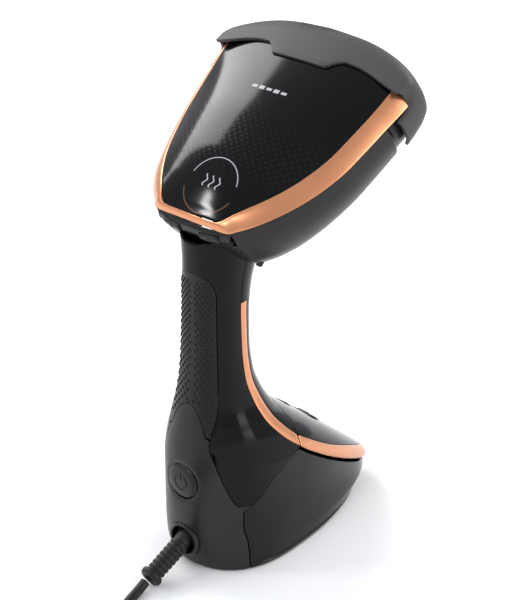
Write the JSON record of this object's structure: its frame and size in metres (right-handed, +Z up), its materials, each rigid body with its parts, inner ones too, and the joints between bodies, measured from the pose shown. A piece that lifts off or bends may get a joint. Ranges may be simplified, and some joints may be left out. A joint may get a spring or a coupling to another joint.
{
  "type": "garment steamer",
  "caption": "Handheld garment steamer: steam head with coated plate, slim handle with trigger, and a shoe-shaped base that holds a removable water tank.",
  "frame": {"origin": "on the surface it stands on, midway between heel and toe, in the plane of symmetry", "axes": "+Z up, +Y from the heel, where the cord leaves, to the toe of the tank, +X to the right"},
  "size_m": [0.1731, 0.3666, 0.3051],
  "materials": {
    "gloss_black": "high gloss, faint dot pattern under the surface of the head's cover",
    "satin_black": "satin, fine grain",
    "guard_grey": "matte soft plastic",
    "copper": "copper coloured metallised plastic, satin",
    "grip_black": "soft, with raised dots",
    "smoked_tank": "smoked translucent plastic, glossy",
    "steel": "plain",
    "aluminium": "die cast",
    "plate_coating": "smooth coated plate",
    "silicone": "translucent grey silicone",
    "rubber": "matte",
    "white_plastic": "plain moulded",
    "brass": "plain",
    "board_green": "solder mask",
    "winding": "lacquered copper wire, modelled as one piece",
    "cord_black": "satin flexible sheath"
  },
  "bodies": {
    "housing": {"rear_shell": "satin_black", "grip_panel": "grip_black", "handle_shell": "gloss_black", "front_cover": "gloss_black", "handle_trim_left": "copper", "handle_trim_right": "copper", "trigger_pin": "steel", "trigger_spring": "steel", "microswitch": "rubber", "control_board": "board_green", "pump_body": "white_plastic", "pump_coil": "winding", "inlet_hose": "silicone", "outlet_hose": "silicone", "wire_bundle": "rubber", "bulkhead": "satin_black", "base_plate": "satin_black", "foot_left": "rubber", "foot_right": "rubber", "tank_socket": "white_plastic", "power_switch": "rubber", "power_spring": "steel", "head_cover": "gloss_black", "head_trim": "copper", "head_shell": "satin_black", "head_guard": "guard_grey", "soleplate": "plate_coating", "soleplate_seal": "silicone", "steam_chamber": "aluminium", "chamber_cover": "aluminium", "heating_element": "steel", "thermostat": "steel", "thermal_fuse": "white_plastic", "heat_shield": "steel", "chamber_screw_left": "steel", "chamber_screw_right": "steel", "control_bar": "satin_black", "cord_socket": "satin_black", "strain_relief": "cord_black", "cord_clamp": "white_plastic", "power_cord": "cord_black", "cord_coil": "cord_black", "cord_tie": "rubber", "plug_lead": "cord_black", "plug_body": "cord_black", "plug_pin_left": "brass", "plug_pin_right": "brass"},
    "tank": {"water_tank": "smoked_tank", "tank_rim": "copper", "tank_cover": "gloss_black", "tank_valve": "white_plastic", "tank_foot": "rubber"},
    "trigger": {"steam_trigger": "satin_black"},
    "lock": {"trigger_lock": "satin_black"},
    "power_key": {"power_button": "satin_black"},
    "low_key": {"steam_low_key": "satin_black"},
    "high_key": {"steam_high_key": "satin_black"},
    "cap": {"fill_cap": "gloss_black"},
    "release": {"tank_release": "guard_grey"},
    "piston": {"pump_piston": "steel"}
  },
  "joints": [
    {"name": "tank_slide", "type": "slide", "parent": "housing", "child": "tank", "axis": [0, 1, 0], "range_m": [0, 0.06]},
    {"name": "trigger_hinge", "type": "hinge", "parent": "housing", "child": "trigger", "pos_m": [0, -0.0342, 0.1835], "axis": [-1, 0, 0], "range_deg": [0, 5], "stiffness_Nm_per_rad": 0.5, "springref_deg": -1.72, "deforming": ["trigger_spring"]},
    {"name": "lock_slide", "type": "slide", "parent": "housing", "child": "lock", "axis": [0, 0.4067, 0.9136], "range_m": [-0.0015, 0.0015]},
    {"name": "power_press", "type": "slide", "parent": "housing", "child": "power_key", "axis": [0, 1, 0], "range_m": [0, 0.0012], "stiffness_N_per_m": 800, "springref_m": -0.0008, "deforming": ["power_spring"]},
    {"name": "low_press", "type": "slide", "parent": "housing", "child": "low_key", "axis": [0, 0.809, 0.5878], "range_m": [0, 0.0008], "stiffness_N_per_m": 800, "springref_m": -0.0005},
    {"name": "high_press", "type": "slide", "parent": "housing", "child": "high_key", "axis": [0, 0.809, 0.5878], "range_m": [0, 0.0008], "stiffness_N_per_m": 800, "springref_m": -0.0005},
    {"name": "cap_hinge", "type": "hinge", "parent": "tank", "child": "cap", "pos_m": [0, 0.03867, 0.05189], "axis": [-1, 0, 0], "range_deg": [0, 100]},
    {"name": "release_press", "type": "slide", "parent": "tank", "child": "release", "axis": [0, -0.6341, -0.7733], "range_m": [0, 0.0012], "stiffness_N_per_m": 800, "springref_m": -0.0008},
    {"name": "piston_slide", "type": "slide", "parent": "housing", "child": "piston", "axis": [0, 0, 1], "range_m": [-0.0015, 0.0015]}
  ]
}
